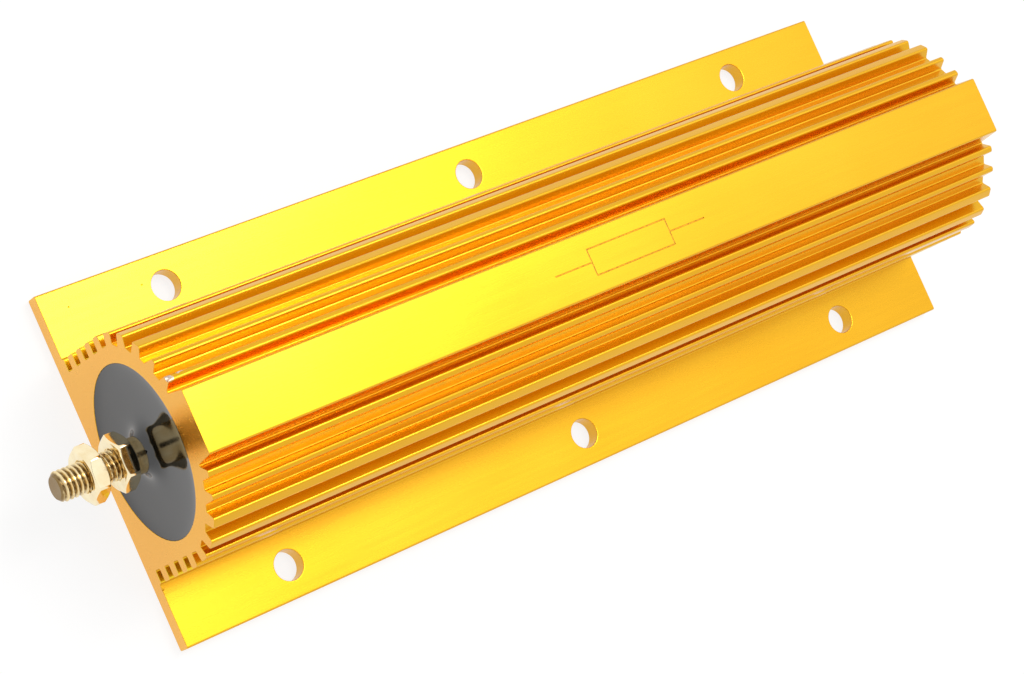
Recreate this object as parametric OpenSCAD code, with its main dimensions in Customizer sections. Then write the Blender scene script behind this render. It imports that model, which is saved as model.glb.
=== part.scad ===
// Aluminium housed power resistor: a wire-wound ceramic core in a finned extrusion,
// with a threaded stud terminal at each end and six mounting holes in the base.
// X runs along the body, +Z up, origin in the middle of the mounting face. Millimetres.

/* [Housing] */
// Length of the extruded body
body_l = 201.5; // [120:0.5:260]
// Width of the base over both flanges
base_w = 72.5; // [68:0.5:90]
// Thickness of the flanges
base_t = 3.6; // [2.5:0.1:4.5]
// Diameter of the bore that holds the element
bore_d = 34.6; // [32:0.1:36]
// Metal left under the bore
floor_t = 3.4; // [2.5:0.1:5]
// Metal between the bore and the flat crown
crown_t = 8; // [7:0.1:10]
// Width of the flat crown
crown_w = 12.4; // [10:0.1:13]
// Rounding of the flange and crown edges
edge_round = 0.4; // [0.2:0.1:1]

/* [Cooling fins] */
// Metal between the bore and the floors of the side slots
side_wall = 3.1; // [2.5:0.1:4]
// Depth of the side slots
slot_depth = 2.7; // [2:0.1:3]
// Height of each side slot
slot_h = 2; // [1.4:0.1:2.4]
// Distance from one side slot to the next
slot_pitch = 4.5; // [4.2:0.1:4.6]
// Height of the lowest slot above the flange
slot_rise = 0.8; // [0.5:0.1:1.2]
// Slope of the roof of the top side slot, in degrees
slot_roof = 15; // [5:1:20]
// Metal between the bore and the floors of the grooves round the crown
crown_wall = 3.5; // [3:0.1:4]
// Depth of the grooves round the crown
groove_depth = 2.6; // [2:0.1:3]
// Rounding of the fin tips
tip_round = 0.5; // [0.1:0.1:0.8]
// Rounding of the slot and groove floors
root_round = 0.3; // [0.1:0.1:0.4]

/* [Mounting holes] */
// Diameter of the mounting holes
hole_d = 6.2; // [4:0.1:7]
// Distance between neighbouring holes along the body
hole_pitch = 74.5; // [40:0.5:90]
// Distance between the two rows of holes
hole_rows = 59.2; // [56:0.1:62]
// Number of holes in each row
hole_count = 3; // [2:1:3]

/* [Element] */
// Thickness of the filler between the winding and the bore
filler_t = 2.9; // [2:0.1:4]
// Diameter of the hole through the core
core_hole_d = 12; // [11:0.1:13]
// Diameter of the resistance wire
wire_d = 0.9; // [0.6:0.05:1]
// Advance of the winding in one turn
wire_pitch = 4.2; // [3:0.1:6]
// Overlap of the winding onto each end cap
wire_lap = 3; // [2:0.1:5]
// Wall of the pressed end caps
cap_wall = 1; // [0.6:0.1:1.4]
// Depth of the end caps over the core
cap_depth = 10; // [7:0.1:14]
// Thickness of the discs that centre the element
disc_t = 2; // [1:0.1:3]

/* [End seals] */
// Thickness of the potted seal at each end
seal_t = 8; // [5:0.1:12]
// How far the seal lies inside the end of the bore
seal_recess = 0.5; // [0.2:0.1:1.5]
// Rise of the seal where it wets the terminal
seal_rise = 1.6; // [0.5:0.1:2.4]
// Reach of that rise along the seal
seal_reach = 3; // [1:0.1:6]
// Rise of the seal where it wets the bore
rim_rise = 0.3; // [0.1:0.05:0.4]

/* [Terminals] */
// Thread diameter of the terminal studs
stud_d = 6; // [5:0.5:8]
// Depth of the thread on the studs
thread_depth = 0.55; // [0.3:0.05:0.8]
// Length of stud beyond the terminal nut
stud_free = 5.6; // [3:0.2:12]
// Chamfer on the tip of the studs
stud_chamfer = 0.8; // [0.3:0.1:1.2]
// Diameter of the plain collar behind the thread
collar_d = 7.2; // [7:0.1:9]
// Projection of the collar beyond the body
collar_out = 3.5; // [2.5:0.1:4.5]
// Diameter of the riveting head inside the core
head_d = 10; // [9:0.1:10.8]
// Thickness of the riveting head
head_t = 2; // [1:0.1:4]
// Width of the nuts across the flats
nut_af = 10; // [9.6:0.1:13]
// How far the faces of the nuts stay inside the flats
nut_chamfer = 0.3; // [0:0.05:0.6]
// Thickness of the lock nut against the collar
lock_nut_t = 3.2; // [2.4:0.1:4]
// Thickness of the terminal nut
terminal_nut_t = 3.2; // [2.4:0.1:4]
// Bare thread between the two nuts
nut_gap = 3.1; // [1:0.1:4]
// Turn of the lock nuts about the stud, in degrees
lock_nut_turn = 24; // [0:1:59]
// Turn of the terminal nuts about the stud, in degrees
terminal_nut_turn = 21; // [0:1:59]

/* [Fits] */
// Radial gap between pieces that fit round one another
fit_gap = 0.05; // [0.02:0.01:0.1]
// Radial gap of the centring discs in the bore
disc_gap = 0.15; // [0.05:0.05:0.3]
// Gap between the faces of the nuts and the full width of the thread
thread_gap = 0.1; // [0.05:0.05:0.3]

/* [Hidden] */
$fn = 96;
over = 1; // cuts run this far past the faces that they open

// Grooves round the crown, from the side slots up to the flat crown: place about the bore
// axis, floor width, direction the floor faces, then the slopes of the lower and upper wall.
groove_at = [20, 33.5, 46.3, 59.5, 70.1];
groove_floor = [2, 1.9, 1.5, 1.9, 0.4];
groove_face = [32, 45, 52, 58, 83];
groove_lower = [26, 21, 45, 57, 60];
groove_upper = [38, 56, 92, 90];
slot_count = 5;
arc_steps = 3; // straight pieces in each rounded corner of the section

bore_r = bore_d / 2;
axis_h = floor_t + bore_r;
body_h = axis_h + bore_r + crown_t;
slot_floor = bore_r + side_wall;
fin_half = slot_floor + slot_depth;
groove_r = bore_r + crown_wall;
fin_r = groove_r + groove_depth;
slot_z0 = base_t + slot_rise;

body_end = body_l / 2;
seal_out = body_end - seal_recess;
seal_in = seal_out - seal_t;
disc_in = seal_in - disc_t;
core_end = disc_in - cap_wall;
cap_edge = core_end - cap_depth;
lock_nut_in = body_end + collar_out;
lock_nut_out = lock_nut_in + lock_nut_t;
terminal_nut_in = lock_nut_out + nut_gap;
terminal_nut_out = terminal_nut_in + terminal_nut_t;
stud_end = terminal_nut_out + stud_free;

// Winding, as straight pieces between rings of points
wire_steps = 16;
wire_sides = 5;
wire_end = cap_edge + wire_lap;
wire_chord = cos(180 / wire_steps);
wire_turns = 2 * wire_end / wire_pitch;
wire_rings = ceil(wire_turns * wire_steps);
wire_clear = cap_edge - wire_d;

// Radii of the element, from the bore inwards
filler_r = bore_r - fit_gap;
wire_out_r = filler_r - filler_t - fit_gap;
wire_cap_r = wire_out_r - wire_d / 2;
cap_r = wire_cap_r * wire_chord - wire_d / 2 - fit_gap;
core_r = cap_r - cap_wall - fit_gap;
wire_core_r = (core_r + fit_gap + wire_d / 2) / wire_chord;

// Distance from p in direction a to the circle of radius r about the bore axis
function reach(p, a, r) =
    let (d = p - [0, axis_h], b = d * [cos(a), sin(a)])
    sqrt(b * b - d * d + r * r) - b;
function along(p, a, s) = p + s * [cos(a), sin(a)];
function unit(v) = v / norm(v);
function turn(a) = a > 180 ? a - 360 : a < -180 ? a + 360 : a;

// Corner b between a and c, rounded by r or by as much as its sides leave room for
function corner(a, b, c, r) =
    let (u = unit(a - b), v = unit(c - b), half = acos(u * v) / 2,
         back = min(r / tan(half), 0.45 * norm(a - b), 0.45 * norm(c - b)),
         rr = back * tan(half), m = b + unit(u + v) * rr / sin(half),
         p = b + u * back - m, q = b + v * back - m,
         from = atan2(p[1], p[0]), sweep = turn(atan2(q[1], q[0]) - from))
    [for (i = [0 : arc_steps]) along(m, from + sweep * i / arc_steps, rr)];
function xy(p) = [p[0], p[1]];
function rounded(p) =
    [for (i = [0 : len(p) - 1])
        each corner(xy(p[(i + len(p) - 1) % len(p)]), xy(p[i]), xy(p[(i + 1) % len(p)]), p[i][2])];

// One side slot: lower mouth, floor, upper mouth. The top one has a sloping roof.
function slot(i) =
    let (z = slot_z0 + i * slot_pitch, top = z + slot_h,
         roof = i == slot_count - 1 ? slot_roof : 0,
         mouth = roof == 0 ? [fin_half, top]
               : along([slot_floor, top], roof, reach([slot_floor, top], roof, fin_half)))
    [[fin_half, z, tip_round], [slot_floor, z, root_round],
     [slot_floor, top, root_round], [mouth[0], mouth[1], tip_round]];

// One groove round the crown, in the same order; the last one ends at the crown's own side
function groove(i) =
    let (m = along([0, axis_h], groove_at[i], groove_r),
         low = along(m, groove_face[i] - 90, groove_floor[i] / 2),
         high = along(m, groove_face[i] + 90, groove_floor[i] / 2),
         lip = along(low, groove_lower[i], reach(low, groove_lower[i], fin_r)),
         top = i == len(groove_at) - 1 ? [crown_w / 2, body_h]
             : along(high, groove_upper[i], reach(high, groove_upper[i], fin_r)))
    [[lip[0], lip[1], tip_round], [low[0], low[1], root_round],
     [high[0], high[1], root_round],
     [top[0], top[1], i == len(groove_at) - 1 ? edge_round : tip_round]];

half_section = concat(
    [[base_w / 2, 0, edge_round], [base_w / 2, base_t, edge_round], [fin_half, base_t, root_round]],
    [for (i = [0 : slot_count - 1]) each slot(i)],
    [for (i = [0 : len(groove_at) - 1]) each groove(i)]);
section = concat(half_section,
    [for (i = [len(half_section) - 1 : -1 : 0])
        [-half_section[i][0], half_section[i][1], half_section[i][2]]]);

// Runs its children along X, at the height of the bore axis
module on_axis() {
    translate([0, 0, axis_h]) rotate([0, 90, 0]) children();
}

// Puts its children, drawn outwards along +X, at end a (-X) or end b (+X)
module at_end(end) {
    rotate([0, 0, end == "a" ? 180 : 0]) children();
}

// Round tube along X from x0 to x1
module tube(x0, x1, outer, inner) {
    on_axis() translate([0, 0, x0]) difference() {
        cylinder(h = x1 - x0, r = outer);
        translate([0, 0, -over]) cylinder(h = x1 - x0 + 2 * over, r = inner);
    }
}

module housing() {
    color("#F3A62B") difference() {
        rotate([90, 0, 90]) linear_extrude(height = body_l, center = true)
            polygon(rounded(section));
        on_axis() cylinder(h = body_l + 2 * over, r = bore_r, center = true);
        for (i = [0 : hole_count - 1], side = [-1, 1])
            translate([(i - (hole_count - 1) / 2) * hole_pitch, side * hole_rows / 2, -over])
                cylinder(h = base_t + 2 * over, d = hole_d);
    }
}

module ceramic_core() {
    color("#EDE6D8") tube(-core_end, core_end, core_r, core_hole_d / 2);
}

// Radius of the winding at x: on the core, climbing onto the end caps over one turn
function wire_r_at(x) =
    let (climb = (abs(x) - wire_clear + wire_pitch) / wire_pitch)
    wire_core_r + (wire_cap_r - wire_core_r) * max(0, min(1, climb));
function wire_ring(k) =
    let (x = -wire_end + 2 * wire_end * k / wire_rings,
         a = 360 * wire_turns * k / wire_rings, r = wire_r_at(x))
    [for (j = [0 : wire_sides - 1])
        let (b = 360 * j / wire_sides, rr = r + wire_d / 2 * cos(b))
        [x + wire_d / 2 * sin(b), rr * cos(a), axis_h + rr * sin(a)]];

module resistance_wire() {
    points = [for (k = [0 : wire_rings]) each wire_ring(k)];
    last = wire_rings * wire_sides;
    sides = [for (k = [0 : wire_rings - 1], j = [0 : wire_sides - 1])
        let (n = (j + 1) % wire_sides, p = k * wire_sides, q = p + wire_sides)
        each [[p + j, q + n, q + j], [p + j, p + n, q + n]]];
    ends = [[for (j = [wire_sides - 1 : -1 : 0]) j],
            [for (j = [0 : wire_sides - 1]) last + j]];
    color("#8D8A86") polyhedron(points, concat(sides, ends));
}

module filler() {
    color("#D9D5CB") tube(-disc_in, disc_in, filler_r, filler_r - filler_t);
}

module end_cap(end) {
    color("#B9B7B2") at_end(end) {
        tube(core_end, disc_in, cap_r, stud_d / 2 + fit_gap);
        tube(cap_edge, core_end, cap_r, core_r + fit_gap);
    }
}

module centring_disc(end) {
    color("#C9B48A") at_end(end)
        tube(disc_in, seal_in, bore_r - disc_gap, collar_d / 2 + fit_gap);
}

// Potted seal: flat, with a curved rise where it wets the collar and the bore
module end_seal(end) {
    inner = collar_d / 2 + fit_gap;
    outer = bore_r - fit_gap;
    rim = 2 * rim_rise;
    color("#2A2A2D") at_end(end) on_axis() rotate_extrude()
        polygon(concat(
            [[outer, seal_in], [outer, seal_out + rim_rise]],
            [for (t = [0.3, 0.6, 1]) [outer - rim * t, seal_out + rim_rise * pow(1 - t, 2)]],
            [for (t = [1 : -0.2 : 0])
                [inner + seal_reach * t, seal_out + seal_rise * pow(1 - t, 2)]],
            [[inner, seal_in]]));
}

// Turned brass stud: riveting head inside the core, shank through the cap, collar and thread.
// It is as wide as the thread's crests, and under the nuts as wide as the thread's roots.
module terminal_stud(end) {
    crest = stud_d / 2;
    root = crest - thread_depth;
    bare_in = lock_nut_out + thread_gap;
    bare_out = terminal_nut_in - thread_gap;
    free_in = terminal_nut_out + thread_gap;
    color("#E3C06A") at_end(end) on_axis() rotate_extrude()
        polygon([
            [0, core_end - head_t], [head_d / 2, core_end - head_t], [head_d / 2, core_end],
            [crest, core_end], [crest, disc_in], [collar_d / 2, disc_in],
            [collar_d / 2, lock_nut_in], [root, lock_nut_in], [root, bare_in], [crest, bare_in],
            [crest, bare_out], [root, bare_out], [root, free_in], [crest, free_in],
            [crest, stud_end - stud_chamfer], [crest - stud_chamfer, stud_end], [0, stud_end]]);
}

// Hexagon nut along X from x, with both faces chamfered at 30 degrees
module hex_nut(x, t, turn) {
    corner_r = nut_af / 2 / cos(30);
    face_r = nut_af / 2 - nut_chamfer;
    drop = (corner_r - face_r) * tan(30);
    on_axis() translate([0, 0, x]) difference() {
        intersection() {
            rotate([0, 0, turn]) cylinder(h = t, r = corner_r, $fn = 6);
            rotate_extrude() polygon([[0, 0], [face_r, 0], [corner_r, drop],
                [corner_r, t - drop], [face_r, t], [0, t]]);
        }
        translate([0, 0, -over]) cylinder(h = t + 2 * over, r = stud_d / 2 - thread_depth + fit_gap);
    }
}

module lock_nut(end) {
    color("#F0D9A0") at_end(end)
        hex_nut(lock_nut_in, lock_nut_t, lock_nut_turn);
}

module terminal_nut(end) {
    color("#F4E2B4") at_end(end)
        hex_nut(terminal_nut_in, terminal_nut_t, terminal_nut_turn);
}

housing();
ceramic_core();
resistance_wire();
filler();
end_cap("a");  // end_cap_a
end_cap("b");  // end_cap_b
centring_disc("a");  // centring_disc_a
centring_disc("b");  // centring_disc_b
end_seal("a");  // end_seal_a
end_seal("b");  // end_seal_b
terminal_stud("a");  // terminal_stud_a
terminal_stud("b");  // terminal_stud_b
lock_nut("a");  // lock_nut_a
lock_nut("b");  // lock_nut_b
terminal_nut("a");  // terminal_nut_a
terminal_nut("b");  // terminal_nut_b
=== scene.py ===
import math

import bmesh
import bpy
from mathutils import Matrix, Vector


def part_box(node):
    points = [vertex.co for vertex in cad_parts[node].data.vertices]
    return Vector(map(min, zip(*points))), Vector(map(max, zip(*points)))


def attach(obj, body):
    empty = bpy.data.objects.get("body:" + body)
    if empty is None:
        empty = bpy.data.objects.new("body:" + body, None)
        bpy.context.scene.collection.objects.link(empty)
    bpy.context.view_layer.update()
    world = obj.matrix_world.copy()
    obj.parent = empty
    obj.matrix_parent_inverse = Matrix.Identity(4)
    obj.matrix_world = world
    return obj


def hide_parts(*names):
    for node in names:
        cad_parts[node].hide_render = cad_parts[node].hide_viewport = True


# Aluminium housed power resistor, dressed over its CAD frame.
# Lengths are in millimetres and become metres where a mesh is made. Camera, lamps and
# floor are in metres throughout.
MM = 0.001
ENDS = ("a", "b")

# Housing
BASE_T = 3.6          # thickness of the flanges
HOLE_PITCH = 74.5     # between the three holes along a flange
HOLE_ROWS = 59.2      # between the two rows of holes
HOLE_R = 3.1
FIN_TIP_R = 23.4      # from the bore axis to the tips of the upper fins
SLOT_SKIN_Y = (20.6, 23.1)   # |y| between which the lower sides are inside a slot
END_BEVEL = 0.12      # broken edge round the sawn ends
RIM_BEVEL = 0.22      # broken edge round the mounting holes
CREASE = 0.5          # radians between two faces that meet at an edge
SHARP = math.radians(38)
FLAT_WEIGHT = 90      # how much the flat faces rule the shading beside them

# How near a point or a face's middle has to be to where it is looked for
ON_PLANE = 0.002
ON_END = 0.001
ON_HOLE = (0.02, 0.1)        # a rim's corners, and the middles of the wall's faces
INSIDE_BASE = 0.05
ENGRAVED_Z = (0.005, 0.3)    # below the crown

# Engraved resistor symbol in the middle of the crown
SYMBOL_L = 38.0
SYMBOL_BODY = (20.0, 5.4)
STROKE_W = 0.3
STROKE_DEPTH = 0.12
STROKE_FLOOR = 0.3    # floor of a stroke as a share of its width
CUTTER_RISE = 0.2     # the cutter stands this far out of the crown

# Terminals
THREAD_CREST = 3.0
THREAD_DEPTH = 0.55
THREAD_PITCH = 1.0
THREAD_FLANK = (1.45, 0.2)   # steepness of the flanks, and the share that is flat root
THREAD_STEPS = 12     # rings in one turn of the thread
THREAD_SIDES = 72     # points in a ring
TIP_CHAMFER = 0.8
TIP_SLOPE = 0.95
TIP_R = 1.9
COLLAR_R = 3.6
HEAD_R = 5.0
HEAD_T = 2.0
STUD_EDGE = 0.15      # broken edges of the head and the collar
NUT_AF = 10.0
NUT_FACE_R = 4.7
NUT_SLOPE = math.tan(math.radians(30))
NUT_BORE_R = 3.03
NUT_MOUTH_R = 3.4
NUT_EDGE = 0.07
LOCK_NUT_TURN = 24
TERMINAL_NUT_TURN = 21

# Seals: a shallow dish that climbs the bore and the collar
SEAL_INNER_R = 3.65
SEAL_OUTER_R = 17.25
SEAL_RIM = 0.1        # its edge lies this far inside the end face
SEAL_DISH = 0.45
RIM_CLIMB = (0.25, 1.5)      # height and reach
COLLAR_CLIMB = (1.9, 1.0)
SEAL_STEPS = 60       # rings from the rim to the collar
SEAL_SIDES = 128

# Marks near end a: x from the end, angle round the bore axis, length and width
SCUFFS = ((1.0, 63.0, 0.55, 0.35), (3.0, 65.0, 0.60, 0.35), (0.1, 66.5, 0.90, 0.60))
# Pits in the flanges: x from end a, y and radius
PITS = ((5.6, 32.1, 0.25), (21.5, 31.3, 0.25), (0.15, -24.2, 0.35))
SCUFF_DEPTH = 0.8     # as a share of its width
BARE_SPREAD = (1.5, 1.7)     # bare metal round a scuff, over its length and width
PIT_RISE = 0.6        # centre above the flange, as a share of the radius
PIT_STRETCH = 1.2

CAMERA_AT = (-0.303902, -0.028284, 0.471074)
CAMERA_TURN = (16.49283, -28.43491, -27.45704)
CAMERA_LENS = 94.1575
LENS_SHADE_R = 0.16
LENS_SHADE_PLACE = 1.25      # from the middle of the part, over the camera's distance
LENS_SHADE_SIDES = 48

# Lamps: tilt towards +X and +Y in degrees, distance, two sizes and radiance
LAMPS = {"key": (13, 11, 1.3, 0.50, 0.70, 3.4),
         "glare": (20.5, 11, 1.3, 0.15, 0.36, 6.0),
         "side": (29, 10, 1.4, 0.45, 0.65, 0.65),
         "fill": (30, 6, 1.6, 1.6, 1.4, 0.08)}
WORLD_LIGHT = 0.6     # its strength where it only lights
WORLD_SEEN = 1.0      # and where it is seen
FLOOR_COLOUR = 0.24
FLOOR_GLOW = 0.82     # added where the floor is seen, so that it shows white
FLOOR_HALF = 4.0
FLOOR_Z = -0.00015


# ---------------------------------------------------------------- meshes

def low(node):
    """Lowest corner of a CAD node, in millimetres."""
    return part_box(node)[0] / MM


def high(node):
    """Highest corner of a CAD node, in millimetres."""
    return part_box(node)[1] / MM


def reach(node):
    """A terminal piece's distances from the middle plane, the nearer first."""
    return sorted((abs(low(node).x), abs(high(node).x)))


def at_end(end, x, y, z):
    """A point drawn outwards along +X, put at end a (-X) or end b (+X), in metres."""
    side = -1 if end == "a" else 1
    return Vector((side * x, side * y, z)) * MM


def add_object(name, mesh, materials):
    """Links a new piece with these material slots."""
    piece = bpy.data.objects.new(name, mesh)
    bpy.context.scene.collection.objects.link(piece)
    for material in materials:
        mesh.materials.append(material)
    return piece


def hand_over(piece, slot, *nodes):
    """The piece stands for these CAD nodes and rides on the part's one body."""
    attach(piece, "root")
    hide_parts(*nodes)


def shade(bm):
    """Smooth faces, with the sharp edges kept."""
    for face in bm.faces:
        face.smooth = True
    for edge in bm.edges:
        edge.smooth = len(edge.link_faces) == 2 and edge.calc_face_angle() < SHARP


def weigh_normals(piece):
    """Flat faces keep their own shading up to their rounded edges."""
    weigh = piece.modifiers.new("flat_faces", "WEIGHTED_NORMAL")
    weigh.keep_sharp = True
    weigh.weight = FLAT_WEIGHT


def ring_mesh(name, rings, closed=False):
    """Mesh through rings of points, each ring closed on itself."""
    bm = bmesh.new()
    rows = [[bm.verts.new(point) for point in ring] for ring in rings]
    pairs = list(zip(rows, rows[1:]))
    if closed:
        pairs.append((rows[-1], rows[0]))
    for lower, upper in pairs:
        for i in range(len(lower)):
            j = (i + 1) % len(lower)
            bm.faces.new((lower[i], lower[j], upper[j], upper[i]))
    bmesh.ops.remove_doubles(bm, verts=bm.verts, dist=0.002 * MM)
    bmesh.ops.recalc_face_normals(bm, faces=bm.faces)
    shade(bm)
    mesh = bpy.data.meshes.new(name)
    bm.to_mesh(mesh)
    bm.free()
    return mesh


def circle(end, x, r, axis_z, segments=96):
    """Ring of points about the bore axis."""
    return [at_end(end, x, r * math.cos(a), axis_z + r * math.sin(a))
            for a in (math.tau * i / segments for i in range(segments))]


# ---------------------------------------------------------------- node graphs

class Graph:
    """A material's nodes, with short ways to add and join them."""

    def __init__(self, name, **settings):
        self.material = bpy.data.materials.new(name)
        self.material.use_nodes = True
        self.tree = self.material.node_tree
        self.shader = self.tree.nodes["Principled BSDF"]
        self.place = self.add("TexCoord").outputs["Object"]
        self.feed(self.shader, settings)

    def put(self, socket, value):
        """Links another node's output, or sets a plain value."""
        if isinstance(value, bpy.types.NodeSocket):
            self.tree.links.new(value, socket)
        else:
            socket.default_value = value

    def feed(self, node, inputs):
        """Fills inputs by name; _ in a name stands for a space."""
        for name, value in inputs.items():
            self.put(node.inputs[name.replace("_", " ")], value)

    def feed_at(self, node, *values):
        """Fills inputs in their order."""
        for socket, value in zip(node.inputs, values):
            self.put(socket, value)

    def add(self, kind, operation=None, **inputs):
        """A new shader node with these inputs."""
        node = self.tree.nodes.new("ShaderNode" + kind)
        if operation:
            node.operation = operation
        self.feed(node, inputs)
        return node

    def stretched(self, x, y, z):
        """Object coordinates with this many units to a metre along each axis."""
        return self.add("Mapping", Vector=self.place, Scale=(x, y, z)).outputs["Vector"]

    def noise(self, place=None, scale=1.0, detail=3.0, roughness=0.5):
        node = self.add("TexNoise", Scale=scale, Detail=detail, Roughness=roughness,
                        Vector=place or self.place)
        return node.outputs[0]

    def math(self, operation, a, b=0.0):
        node = self.add("Math", operation)
        self.feed_at(node, a, b)
        return node.outputs[0]

    def fit(self, value, low_in, high_in, low_out=0.0, high_out=1.0):
        """Carries a value from one range to another and holds it there."""
        node = self.add("MapRange", Value=value)
        for name, number in (("From Min", low_in), ("From Max", high_in),
                             ("To Min", low_out), ("To Max", high_out)):
            node.inputs[name].default_value = number
        return node.outputs[0]

    def mix(self, factor, first, second):
        """Colour between two colours."""
        node = self.add("Mix")
        node.data_type = "RGBA"
        for index, value in ((0, factor), (6, first), (7, second)):
            self.put(node.inputs[index], value)
        return node.outputs[2]

    def spot(self, centre, radii):
        """Distance from a place in millimetres, 1 on an ellipsoid with these radii."""
        moved = self.add("VectorMath", "SUBTRACT")
        self.feed_at(moved, self.place, tuple(c * MM for c in centre))
        sized = self.add("VectorMath", "DIVIDE")
        self.feed_at(sized, moved.outputs[0], tuple(r * MM for r in radii))
        length = self.add("VectorMath", "LENGTH")
        self.feed_at(length, sized.outputs[0])
        return length.outputs["Value"]

    def bump(self, height, depth_mm, under=None):
        """Relief of this depth, over another relief if one is given."""
        node = self.add("Bump", Height=height, Distance=depth_mm * MM, Strength=1.0)
        if under:
            self.put(node.inputs["Normal"], under)
        return node.outputs["Normal"]


def rgb(red, green, blue):
    return (red, green, blue, 1.0)


# ---------------------------------------------------------------- materials

GOLD = rgb(0.81, 0.430, 0.010)
DEEP_GOLD = rgb(0.79, 0.400, 0.006)
SAWN_GOLD = rgb(0.94, 0.46, 0.024)
SAWN_DEEP = rgb(0.91, 0.42, 0.014)
# painted light: the side slots get a lighter gold than the long sides, to stand in for light that
# does not reach into them
SLOT_PAINTED_LIGHT_GOLD = rgb(0.88, 0.60, 0.016)
SLOT_PAINTED_LIGHT_DEEP = rgb(0.86, 0.57, 0.010)
BARE = rgb(0.74, 0.60, 0.50)
# colour of the painted shade in the roots of the threads
ROOT_SHADE = rgb(0.16, 0.085, 0.020)
DIE_LINES = (14, 3400, 3400)     # fine lines along X
DIE_DEPTH = 0.0014
ENDLESS = 1e6                    # a radius that makes an ellipsoid a cylinder


def anodised(name, roughness, grain, pale=GOLD, deep=DEEP_GOLD):
    """Gold anodised aluminium: a tinted metal under a thin clear layer."""
    g = Graph(name, Metallic=1.0, Coat_Weight=0.35, Coat_Roughness=0.18, Coat_IOR=1.5)
    clouds = g.noise(scale=28, detail=2)
    tint = g.mix(g.fit(clouds, 0.35, 0.7), pale, deep)
    rough = g.fit(g.noise(g.stretched(60, 900, 900), detail=4), 0.3, 0.7,
                  roughness - 0.03, roughness + 0.03)
    normal = g.bump(g.noise(scale=5200, detail=2), grain)
    return g, tint, rough, normal


def extruded_skin(scuffs):
    """Long sides: fine die lines run along X, and scuffs show bare metal."""
    g, tint, rough, normal = anodised("housing_skin", 0.27, 0.0010)
    lines = g.noise(g.stretched(*DIE_LINES), detail=5, roughness=0.62)
    normal = g.bump(lines, DIE_DEPTH, under=normal)
    nearest = 10.0    # clear of every scuff
    for centre, length, width in scuffs:
        wide = width * BARE_SPREAD[1]
        spot = g.spot(centre, (length * BARE_SPREAD[0], wide, wide))
        nearest = g.math("MINIMUM", spot, nearest)
    ragged = g.math("ADD", nearest,
                    g.fit(g.noise(scale=1800, detail=3), 0.3, 0.7, -0.35, 0.35))
    worn = g.fit(ragged, 0.75, 0.95, 1.0, 0.0)
    g.feed(g.shader, {"Base_Color": g.mix(worn, tint, BARE),
                      "Roughness": g.math("ADD", rough, g.math("MULTIPLY", worn, 0.12)),
                      "Normal": normal})
    return g.material


def sawn_skin():
    """Ends: sawn across and then anodised, so duller, with faint arcs from the blade."""
    g, tint, rough, normal = anodised("housing_sawn_end", 0.25, 0.0015, SAWN_GOLD, SAWN_DEEP)
    arcs = g.add("TexWave", Scale=1500.0, Distortion=1.2, Detail=2.0,
                 Vector=g.stretched(0.0, 1.0, 0.35))
    normal = g.bump(arcs.outputs["Fac"], 0.003, under=normal)
    g.feed(g.shader, {"Base_Color": tint, "Roughness": rough, "Normal": normal})
    return g.material


def slot_skin_painted_light():
    """Inside the narrow side slots: lighter and duller; the lighter colour is painted light that
    fills the shade of the deep slots.
    """
    g, tint, rough, normal = anodised("housing_slots_painted_light", 0.32, 0.0010, SLOT_PAINTED_LIGHT_GOLD, SLOT_PAINTED_LIGHT_DEEP)
    lines = g.noise(g.stretched(*DIE_LINES), detail=4)
    normal = g.bump(lines, DIE_DEPTH, under=normal)
    g.feed(g.shader, {"Base_Color": tint, "Roughness": rough, "Normal": normal})
    return g.material


def drilled_skin():
    """Walls of the mounting holes: rings left by the drill."""
    g, tint, rough, normal = anodised("housing_drilled", 0.34, 0.0015)
    rings = g.noise(g.stretched(80, 80, 5200), detail=3)
    normal = g.bump(rings, 0.006, under=normal)
    g.feed(g.shader, {"Base_Color": tint, "Roughness": rough, "Normal": normal})
    return g.material


def engraved_skin():
    """Floor and walls of the engraved strokes: darker and rougher than the crown."""
    g, tint, rough, normal = anodised("housing_engraved", 0.45, 0.004)
    blotches = g.fit(g.noise(scale=1500, detail=3), 0.4, 0.65)
    # the strokes are darker than the crown, in blotches between two tones
    g.feed(g.shader, {"Base_Color": g.mix(blotches, rgb(0.76, 0.42, 0.03), rgb(0.55, 0.29, 0.03)),
                      "Roughness": rough, "Normal": normal})
    return g.material


def brass(name, pale, deep, roughness, lines, axis_z=None):
    """Turned brass; the tool left fine rings about X.

    With an axis height, painted shade darkens the roots of a thread round that axis.
    """
    g = Graph(name, Metallic=1.0)
    clouds = g.fit(g.noise(scale=420, detail=3), 0.35, 0.68)
    rings = g.noise(g.stretched(9000, 60, 60), detail=2)
    spread = g.noise(scale=900, detail=4)
    tint = g.mix(clouds, pale, deep)
    if axis_z:
        radius = g.spot((0.0, 0.0, axis_z), (ENDLESS, THREAD_CREST, THREAD_CREST))
        patchy = g.math("ADD", radius, g.fit(spread, 0.3, 0.7, -0.05, 0.05))
        # painted shade: darker towards the roots of the thread, by distance from its axis
        tint = g.mix(g.fit(patchy, 0.84, 0.97, 0.85, 0.0), tint, ROOT_SHADE)
    g.feed(g.shader, {"Base_Color": tint,
                      "Roughness": g.fit(spread, 0.3, 0.7, roughness - 0.04, roughness + 0.06),
                      "Normal": g.bump(rings, lines)})
    return g.material


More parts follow.
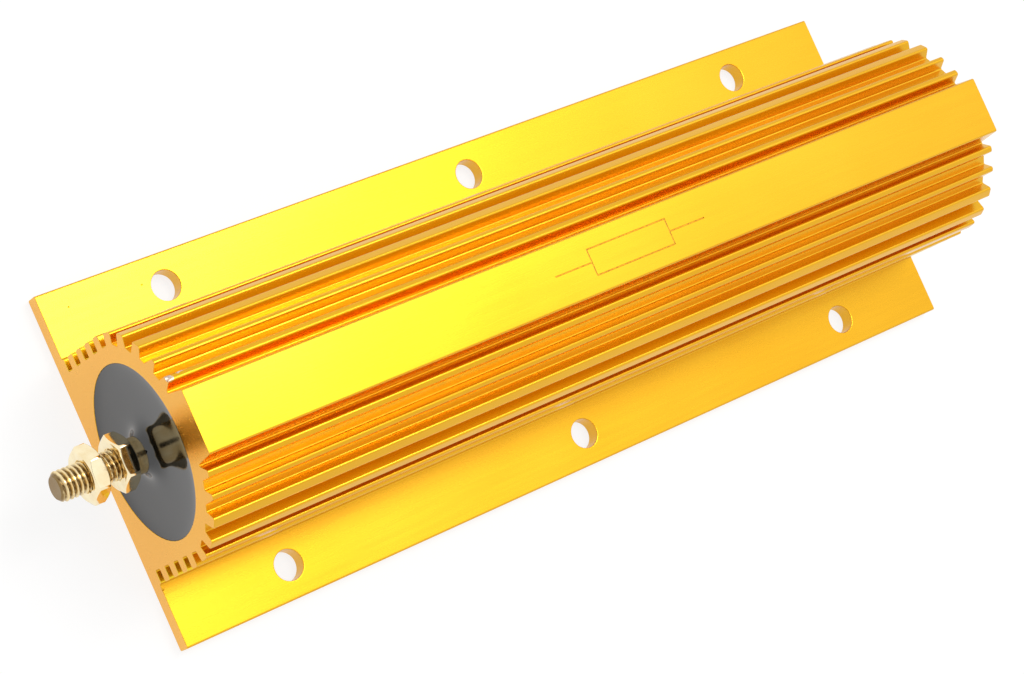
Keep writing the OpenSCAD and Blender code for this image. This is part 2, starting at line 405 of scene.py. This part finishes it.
def black_epoxy():
    """Glossy black potting resin: a faint swell, and the odd speck of dust."""
    g = Graph("black_epoxy", IOR=1.75)
    swell = g.noise(scale=90, detail=1)
    dust = g.fit(g.noise(scale=2600, detail=2, roughness=0.8), 0.70, 0.76)
    g.feed(g.shader, {"Base_Color": g.mix(dust, rgb(0.0035, 0.0033, 0.0036),
                                          rgb(0.05, 0.048, 0.045)),
                      "Roughness": g.fit(g.noise(scale=700), 0.3, 0.7, 0.03, 0.07),
                      "Normal": g.bump(swell, 0.05)})
    return g.material


def ceramic():
    """Unglazed steatite: chalky, with a fine cast grain."""
    g = Graph("ceramic", Roughness=0.7)
    grain = g.noise(scale=1600, detail=5)
    g.feed(g.shader, {"Base_Color": g.mix(grain, rgb(0.86, 0.82, 0.74), rgb(0.76, 0.71, 0.62)),
                      "Normal": g.bump(grain, 0.02)})
    return g.material


def resistance_wire():
    """Drawn resistance wire, with a dull oxide bloom."""
    g = Graph("resistance_wire", Metallic=1.0)
    bloom = g.noise(scale=700, detail=4)
    g.feed(g.shader, {"Base_Color": g.mix(bloom, rgb(0.45, 0.43, 0.41), rgb(0.28, 0.25, 0.22)),
                      "Roughness": g.fit(bloom, 0.3, 0.7, 0.28, 0.5),
                      "Normal": g.bump(g.noise(g.stretched(300, 4000, 4000)), 0.004)})
    return g.material


def packed_filler():
    """Sandy mineral filler with coarser grains in it."""
    g = Graph("filler", Roughness=0.9)
    grains = g.add("TexVoronoi", Vector=g.place, Scale=1500.0).outputs["Distance"]
    g.feed(g.shader, {"Base_Color": g.mix(grains, rgb(0.80, 0.76, 0.68), rgb(0.55, 0.50, 0.42)),
                      "Normal": g.bump(grains, 0.06)})
    return g.material


def cap_steel():
    """Pressed steel cap: faint draw marks along X."""
    g = Graph("cap_steel", Metallic=1.0)
    marks = g.noise(g.stretched(120, 2600, 2600), detail=4)
    g.feed(g.shader, {"Base_Color": g.mix(marks, rgb(0.62, 0.60, 0.57), rgb(0.48, 0.46, 0.44)),
                      "Roughness": g.fit(marks, 0.3, 0.7, 0.25, 0.42),
                      "Normal": g.bump(marks, 0.004)})
    return g.material


def mica_board():
    """Pressed mica: flakes lying across X, with a soft sheen."""
    g = Graph("mica_board", Coat_Weight=0.3, Coat_Roughness=0.3)
    flakes = g.add("TexVoronoi", Vector=g.stretched(2400, 700, 700), Scale=1.0)
    tone = g.fit(flakes.outputs["Distance"], 0.1, 0.8)
    g.feed(g.shader, {"Base_Color": g.mix(tone, rgb(0.62, 0.50, 0.31), rgb(0.42, 0.32, 0.18)),
                      "Roughness": g.fit(tone, 0.0, 1.0, 0.45, 0.65),
                      "Normal": g.bump(flakes.outputs["Distance"], 0.03)})
    return g.material


# ---------------------------------------------------------------- housing

def cad_bmesh(node):
    """A copy of the CAD node's faces, joined up again."""
    bm = bmesh.new()
    bm.from_mesh(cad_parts[node].data)
    bmesh.ops.remove_doubles(bm, verts=bm.verts, dist=0.001 * MM)
    return bm


def stroke(bm, x0, y0, x1, y1, top):
    """Cutter with sloping walls from one point to another, standing out of the crown."""
    along = Vector((x1 - x0, y1 - y0, 0)).normalized()
    across = Vector((-along.y, along.x, 0)) * STROKE_W / 2
    first = Vector((x0, y0, top)) - along * STROKE_W / 2
    last = Vector((x1, y1, top)) + along * STROKE_W / 2
    lift = Vector((0, 0, CUTTER_RISE))
    floor = Vector((0, 0, -STROKE_DEPTH))
    outline = [across + lift, across, across * STROKE_FLOOR + floor,
               -across * STROKE_FLOOR + floor, -across, -across + lift]
    rows = [[bm.verts.new((end + offset) * MM) for offset in outline] for end in (first, last)]
    made = [bm.faces.new(rows[0]), bm.faces.new(list(reversed(rows[1])))]
    for i in range(len(outline)):
        j = (i + 1) % len(outline)
        made.append(bm.faces.new((rows[0][j], rows[0][i], rows[1][i], rows[1][j])))
    bmesh.ops.recalc_face_normals(bm, faces=made)


def symbol_strokes():
    """Plain resistor symbol: a box with a lead at each end."""
    half_l = SYMBOL_L / 2
    box_x = SYMBOL_BODY[0] / 2
    box_y = SYMBOL_BODY[1] / 2
    return [(-half_l, 0, -box_x, 0), (box_x, 0, half_l, 0),
            (-box_x, -box_y, box_x, -box_y), (-box_x, box_y, box_x, box_y),
            (-box_x, -box_y, -box_x, box_y), (box_x, -box_y, box_x, box_y)]


def dent(bm, centre, radii):
    """Ellipsoid that sinks a dent where it meets the skin."""
    made = bmesh.ops.create_icosphere(bm, subdivisions=3, radius=1.0)["verts"]
    for vert in made:
        vert.co = Vector([c + r * v for c, r, v in zip(centre, radii, vert.co)]) * MM


def round_axis(angle, r, axis_z):
    """Point of the section at this angle and radius about the bore axis."""
    a = math.radians(angle)
    return r * math.cos(a), axis_z + r * math.sin(a)


def cut(piece, cutter_bm):
    """Takes the cutter's shape out of the piece and drops the cutter."""
    mesh = bpy.data.meshes.new("cutter")
    cutter_bm.to_mesh(mesh)
    cutter_bm.free()
    cutter = bpy.data.objects.new("cutter", mesh)
    bpy.context.scene.collection.objects.link(cutter)
    carve = piece.modifiers.new("carve", "BOOLEAN")
    carve.operation = "DIFFERENCE"
    carve.solver = "EXACT"
    carve.use_self = True
    carve.object = cutter
    graph = bpy.context.evaluated_depsgraph_get()
    result = bpy.data.meshes.new_from_object(piece.evaluated_get(graph))
    piece.modifiers.remove(carve)
    piece.data = result
    bpy.data.objects.remove(cutter)


def make_housing(axis_z):
    """The extrusion with broken edges, engraved symbol, scuffed fins and small pits."""
    top = high("housing").z
    near = low("housing").x
    scuffs = [((near + x, *round_axis(angle, FIN_TIP_R, axis_z)), length, width)
              for x, angle, length, width in SCUFFS]
    bm = cad_bmesh("housing")
    mesh = bpy.data.meshes.new("housing_body")
    bm.to_mesh(mesh)
    bm.free()
    piece = add_object("housing_body", mesh, [])
    tool = bmesh.new()
    for points in symbol_strokes():
        stroke(tool, *points, top)
    cut(piece, tool)
    tool = bmesh.new()
    for centre, length, width in scuffs:
        dent(tool, centre, (length, width, width * SCUFF_DEPTH))
    for x, y, r in PITS:
        dent(tool, (near + x, y, BASE_T + r * PIT_RISE), (r * PIT_STRETCH, r, r))
    cut(piece, tool)
    finish_housing(piece, top, axis_z)
    for material in (extruded_skin(scuffs), sawn_skin(), drilled_skin(), engraved_skin(),
                     slot_skin_painted_light()):
        piece.data.materials.append(material)
    weigh_normals(piece)
    hand_over(piece, "anodised_housing", "housing")


def creased(edge):
    """True where two faces meet at a clear angle."""
    return len(edge.link_faces) == 2 and edge.calc_face_angle() > CREASE


def soften(bm, edges, width):
    """Rounds these edges off."""
    bmesh.ops.bevel(bm, geom=edges, offset=width * MM, offset_type="OFFSET", segments=2,
                    profile=0.5, affect="EDGES", clamp_overlap=False)


def finish_housing(piece, top, axis_z):
    """Joins flat faces, breaks the edges and sorts the faces by how they were made."""
    end_x = high("housing").x
    bm = bmesh.new()
    bm.from_mesh(piece.data)
    bmesh.ops.remove_doubles(bm, verts=bm.verts, dist=0.0005 * MM)
    bmesh.ops.dissolve_limit(bm, angle_limit=math.radians(0.2), verts=bm.verts, edges=bm.edges)
    soften(bm, [e for e in bm.edges if creased(e)
                and all(abs(abs(v.co.x) - end_x * MM) < ON_PLANE * MM for v in e.verts)],
           END_BEVEL)
    soften(bm, [e for e in bm.edges if is_hole_rim(e)], RIM_BEVEL)
    for face in bm.faces:
        face.material_index = face_kind(face, end_x, top, axis_z)
    shade(bm)
    bm.to_mesh(piece.data)
    bm.free()


def is_hole_rim(edge):
    """True for the edges where a mounting hole meets the faces of a flange."""
    if not creased(edge):
        return False
    for vert in edge.verts:
        x, y, z = vert.co / MM
        if min(abs(z), abs(z - BASE_T)) > ON_PLANE:
            return False
        if abs(hole_distance(x, y) - HOLE_R) > ON_HOLE[0]:
            return False
    return True


def hole_distance(x, y):
    """Distance from the nearest mounting hole's axis."""
    along = min(abs(x - i * HOLE_PITCH) for i in (-1, 0, 1))
    return math.hypot(along, abs(y) - HOLE_ROWS / 2)


def face_kind(face, end_x, top, axis_z):
    """Slot of a face: 0 extruded, 1 sawn, 2 drilled, 3 engraved, 4 inside a side slot."""
    x, y, z = face.calc_center_median() / MM
    if abs(x) > end_x - ON_END:
        return 1
    if hole_distance(x, y) < HOLE_R + ON_HOLE[1] and INSIDE_BASE < z < BASE_T - INSIDE_BASE:
        return 2
    engraved = ENGRAVED_Z[0] < top - z < ENGRAVED_Z[1]
    if engraved and abs(y) < SYMBOL_BODY[1] and abs(x) < SYMBOL_L:
        return 3
    if z < axis_z and SLOT_SKIN_Y[0] < abs(y) < SLOT_SKIN_Y[1]:
        return 4
    return 0


# ---------------------------------------------------------------- terminals

def thread_r(x, angle):
    """Radius of the thread, right-handed about +X, with flat crests and roots."""
    turn = x / THREAD_PITCH - angle / math.tau
    ridge = abs(2 * (turn % 1.0) - 1)
    rise = min(1.0, max(0.0, THREAD_FLANK[0] * ridge - THREAD_FLANK[1]))
    return THREAD_CREST - THREAD_DEPTH * (1 - rise)


def make_stud(end, axis_z, material):
    """Riveting head, shank, collar and a real helical thread with a chamfered tip."""
    node = "terminal_stud_" + end
    start, tip = reach(node)
    cap_out = reach("end_cap_" + end)[1]
    collar_out = reach("lock_nut_" + end)[0]
    head_out = start + HEAD_T
    body = [(start, 0), (start, HEAD_R - STUD_EDGE), (start + STUD_EDGE, HEAD_R),
            (head_out - STUD_EDGE, HEAD_R), (head_out, HEAD_R - STUD_EDGE),
            (head_out, THREAD_CREST), (cap_out, THREAD_CREST), (cap_out, COLLAR_R),
            (collar_out - STUD_EDGE, COLLAR_R), (collar_out, COLLAR_R - STUD_EDGE),
            (collar_out, THREAD_CREST - THREAD_DEPTH)]
    rings = [circle(end, x, r, axis_z, THREAD_SIDES) for x, r in body]
    count = round((tip - collar_out) / THREAD_PITCH * THREAD_STEPS)
    for i in range(count + 1):
        x = collar_out + (tip - collar_out) * i / count
        limit = THREAD_CREST - max(0.0, x - (tip - TIP_CHAMFER)) * TIP_SLOPE
        ring = []
        for k in range(THREAD_SIDES):
            a = math.tau * k / THREAD_SIDES
            r = min(thread_r(x, a), limit)
            ring.append(at_end(end, x, r * math.cos(a), axis_z + r * math.sin(a)))
        rings.append(ring)
    rings.append(circle(end, tip, TIP_R, axis_z, THREAD_SIDES))
    rings.append(circle(end, tip, 0, axis_z, THREAD_SIDES))
    piece = add_object("stud_" + end, ring_mesh("stud_" + end, rings), [material])
    weigh_normals(piece)
    hand_over(piece, "stud_brass", node)


def nut_angles(turn):
    """Angles round a hexagon, closer together beside its corners."""
    steps = (-30, -24, -18, -12, -7, -3.5, -1.1, 1.1, 3.5, 7, 12, 18, 24)
    return [(turn + 30 + 60 * corner + step, step) for corner in range(6) for step in steps]


def nut_ring(end, x_at, r_at, turn, axis_z):
    """Ring round the stud; place and radius depend on the hexagon's own radius there."""
    ring = []
    for degrees, step in nut_angles(turn):
        flat_r = NUT_AF / 2 / math.cos(math.radians(30 - abs(step)))
        a = math.radians(degrees)
        r = r_at(flat_r)
        ring.append(at_end(end, x_at(flat_r), r * math.cos(a), axis_z + r * math.sin(a)))
    return ring


def nut_rings(end, inner, outer, turn, axis_z):
    """Rings from the bore over one chamfered face, the flats and the other face."""
    soft = NUT_EDGE

    def side(face_x, sign):
        def drop(flat_r):
            return face_x + sign * (flat_r - NUT_FACE_R) * NUT_SLOPE
        return [
            (lambda f: face_x + sign * (NUT_MOUTH_R - NUT_BORE_R), lambda f: NUT_BORE_R),
            (lambda f: face_x + sign * soft / 2, lambda f: NUT_MOUTH_R - soft / 2),
            (lambda f: face_x, lambda f: NUT_MOUTH_R + soft / 2),
            (lambda f: face_x, lambda f: NUT_FACE_R - soft),
            (lambda f: face_x + sign * soft / 4, lambda f: NUT_FACE_R + soft / 2),
            (lambda f: drop(f) - sign * soft * NUT_SLOPE, lambda f: f - soft),
            (lambda f: drop(f) + sign * soft, lambda f: f)]

    rules = side(inner, 1) + list(reversed(side(outer, -1)))
    return [nut_ring(end, x_at, r_at, turn, axis_z) for x_at, r_at in rules]


def make_nut(kind, end, turn, axis_z, material):
    """Thin hexagon nut with chamfered corners, turned by this many degrees."""
    node = kind + "_" + end
    mesh = ring_mesh(node + "_hex", nut_rings(end, *reach(node), turn, axis_z), closed=True)
    piece = add_object(node + "_hex", mesh, [material])
    weigh_normals(piece)
    hand_over(piece, "nut_brass", node)


def seal_x(r, out):
    """How far out the seal's surface lies at this radius."""
    dish = SEAL_DISH * (1 - (r / SEAL_OUTER_R) ** 2)
    rim = RIM_CLIMB[0] * (1 - math.exp((r - SEAL_OUTER_R) / RIM_CLIMB[1]))
    collar = COLLAR_CLIMB[0] * math.exp((SEAL_INNER_R - r) / COLLAR_CLIMB[1])
    return out - dish - rim + collar


def make_seal(end, axis_z, material):
    """Potted disc with a dished surface that climbs the bore and the collar."""
    out = high("housing").x - SEAL_RIM
    back = reach("end_seal_" + end)[0]
    profile = [(back, SEAL_INNER_R), (back, SEAL_OUTER_R)]
    for i in range(SEAL_STEPS + 1):
        r = SEAL_OUTER_R - (SEAL_OUTER_R - SEAL_INNER_R) * i / SEAL_STEPS
        profile.append((seal_x(r, out), r))
    rings = [circle(end, x, r, axis_z, SEAL_SIDES) for x, r in profile]
    mesh = ring_mesh("seal_" + end, rings, closed=True)
    piece = add_object("seal_" + end, mesh, [material])
    hand_over(piece, "black_epoxy", "end_seal_" + end)


# ---------------------------------------------------------------- inside

def dress_inside():
    """The sealed-in CAD solids keep their meshes and get their own materials."""
    looks = {"ceramic_core": ceramic(), "resistance_wire": resistance_wire(),
             "filler": packed_filler()}
    steel = cap_steel()
    mica = mica_board()
    for end in ENDS:
        looks["end_cap_" + end] = steel
        looks["centring_disc_" + end] = mica
    for node, material in looks.items():
        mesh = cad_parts[node].data
        mesh.materials.clear()
        mesh.materials.append(material)


# ---------------------------------------------------------------- studio

def seen_directly(tree):
    """1 for camera, glossy and transmission rays, 0 for the rest."""
    path = tree.nodes.new("ShaderNodeLightPath")
    total = path.outputs["Is Camera Ray"]
    for name in ("Is Glossy Ray", "Is Transmission Ray"):
        join = tree.nodes.new("ShaderNodeMath")
        join.operation = "MAXIMUM"
        tree.links.new(total, join.inputs[0])
        tree.links.new(path.outputs[name], join.inputs[1])
        total = join.outputs[0]
    return total


def make_world():
    """White all round where it is seen, a little lower where it only lights."""
    world = bpy.data.worlds.new("studio")
    bpy.context.scene.world = world
    world.use_nodes = True
    tree = world.node_tree
    back = tree.nodes["Background"]
    back.inputs["Color"].default_value = rgb(1, 1, 1)
    level = tree.nodes.new("ShaderNodeMapRange")
    level.inputs["To Min"].default_value = WORLD_LIGHT
    level.inputs["To Max"].default_value = WORLD_SEEN
    tree.links.new(seen_directly(tree), level.inputs["Value"])
    tree.links.new(level.outputs[0], back.inputs["Strength"])


def make_floor():
    """White sweep that keeps a soft shadow, and can be looked through from below."""
    material = bpy.data.materials.new("floor")
    material.use_nodes = True
    tree = material.node_tree
    tree.nodes.remove(tree.nodes["Principled BSDF"])
    matt = tree.nodes.new("ShaderNodeBsdfDiffuse")
    matt.inputs["Color"].default_value = rgb(FLOOR_COLOUR, FLOOR_COLOUR, FLOOR_COLOUR)
    glow = tree.nodes.new("ShaderNodeEmission")
    level = tree.nodes.new("ShaderNodeMath")
    level.operation = "MULTIPLY"
    level.inputs[1].default_value = FLOOR_GLOW
    tree.links.new(seen_directly(tree), level.inputs[0])
    tree.links.new(level.outputs[0], glow.inputs["Strength"])
    both = tree.nodes.new("ShaderNodeAddShader")
    tree.links.new(matt.outputs[0], both.inputs[0])
    tree.links.new(glow.outputs[0], both.inputs[1])
    choose = tree.nodes.new("ShaderNodeMixShader")
    tree.links.new(tree.nodes.new("ShaderNodeNewGeometry").outputs["Backfacing"], choose.inputs[0])
    tree.links.new(both.outputs[0], choose.inputs[1])
    tree.links.new(tree.nodes.new("ShaderNodeBsdfTransparent").outputs[0], choose.inputs[2])
    tree.links.new(choose.outputs[0], tree.nodes["Material Output"].inputs["Surface"])
    mesh = bpy.data.meshes.new("floor")
    corners = ((-1, -1), (1, -1), (1, 1), (-1, 1))
    mesh.from_pydata([(x * FLOOR_HALF, y * FLOOR_HALF, FLOOR_Z) for x, y in corners],
                     [], [(0, 1, 2, 3)])
    floor = add_object("floor", mesh, [material])


def add_lamp(name, tilt_x, tilt_y, distance, size_x, size_y, radiance):
    """Soft lamp over the part, tilted towards +X and +Y, facing its middle."""
    direction = Vector((math.tan(math.radians(tilt_x)), math.tan(math.radians(tilt_y)), 1.0))
    direction.normalize()
    lamp = bpy.data.lights.new(name, "AREA")
    lamp.shape = "RECTANGLE"
    lamp.size = size_x
    lamp.size_y = size_y
    lamp.energy = radiance * math.pi * size_x * size_y
    lamp_object = bpy.data.objects.new(name, lamp)
    bpy.context.scene.collection.objects.link(lamp_object)
    lamp_object.location = direction * distance
    lamp_object.rotation_euler = direction.to_track_quat("Z", "Y").to_euler()


def add_lens_shade():
    """The dark camera, seen only where the glossy pieces mirror it."""
    place = Vector(CAMERA_AT)
    turns = [math.tau * i / LENS_SHADE_SIDES for i in range(LENS_SHADE_SIDES)]
    mesh = ring_mesh("lens_shade", [[Vector((r * math.cos(a), r * math.sin(a), 0.0))
                                     for a in turns] for r in (0.0, LENS_SHADE_R)])
    shade_object = add_object("lens_shade", mesh, [bpy.data.materials.new("lens_shade")])
    shade_object.data.materials[0].use_nodes = True
    skin = shade_object.data.materials[0].node_tree.nodes["Principled BSDF"]
    skin.inputs["Base Color"].default_value = rgb(0.01, 0.01, 0.01)
    shade_object.location = place * LENS_SHADE_PLACE
    shade_object.rotation_euler = place.to_track_quat("Z", "Y").to_euler()
    shade_object.visible_camera = False
    shade_object.visible_diffuse = False
    shade_object.visible_shadow = False


def make_camera():
    """The camera that was fitted to the photo."""
    camera = bpy.data.objects.new("camera", bpy.data.cameras.new("camera"))
    bpy.context.scene.collection.objects.link(camera)
    camera.location = CAMERA_AT
    camera.rotation_euler = [math.radians(a) for a in CAMERA_TURN]
    camera.data.lens = CAMERA_LENS
    camera.data.sensor_width = 36.0
    camera.data.clip_start = 0.01
    bpy.context.scene.camera = camera


# ---------------------------------------------------------------- assembly

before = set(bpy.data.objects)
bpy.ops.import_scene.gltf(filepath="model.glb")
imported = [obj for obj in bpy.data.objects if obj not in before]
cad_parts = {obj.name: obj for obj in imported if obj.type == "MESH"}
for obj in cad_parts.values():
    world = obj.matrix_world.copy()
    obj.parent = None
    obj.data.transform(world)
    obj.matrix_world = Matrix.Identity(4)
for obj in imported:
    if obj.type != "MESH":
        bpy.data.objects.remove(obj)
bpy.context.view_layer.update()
AXIS_Z = (low("end_seal_a").z + high("end_seal_a").z) / 2

make_camera()
make_world()
make_floor()
for lamp_name, lamp_values in LAMPS.items():
    add_lamp(lamp_name, *lamp_values)
add_lens_shade()

make_housing(AXIS_Z)
seal_black = black_epoxy()
stud_metal = brass("stud_brass", rgb(0.93, 0.76, 0.44), rgb(0.80, 0.58, 0.26), 0.20, 0.003, AXIS_Z)
nut_metal = brass("nut_brass", rgb(0.98, 0.86, 0.58), rgb(0.92, 0.76, 0.46), 0.06, 0.0010)
for end in ENDS:
    make_seal(end, AXIS_Z, seal_black)
    make_stud(end, AXIS_Z, stud_metal)
    make_nut("lock_nut", end, LOCK_NUT_TURN, AXIS_Z, nut_metal)
    make_nut("terminal_nut", end, TERMINAL_NUT_TURN, AXIS_Z, nut_metal)
dress_inside()

bpy.context.scene.view_settings.view_transform = "Standard"
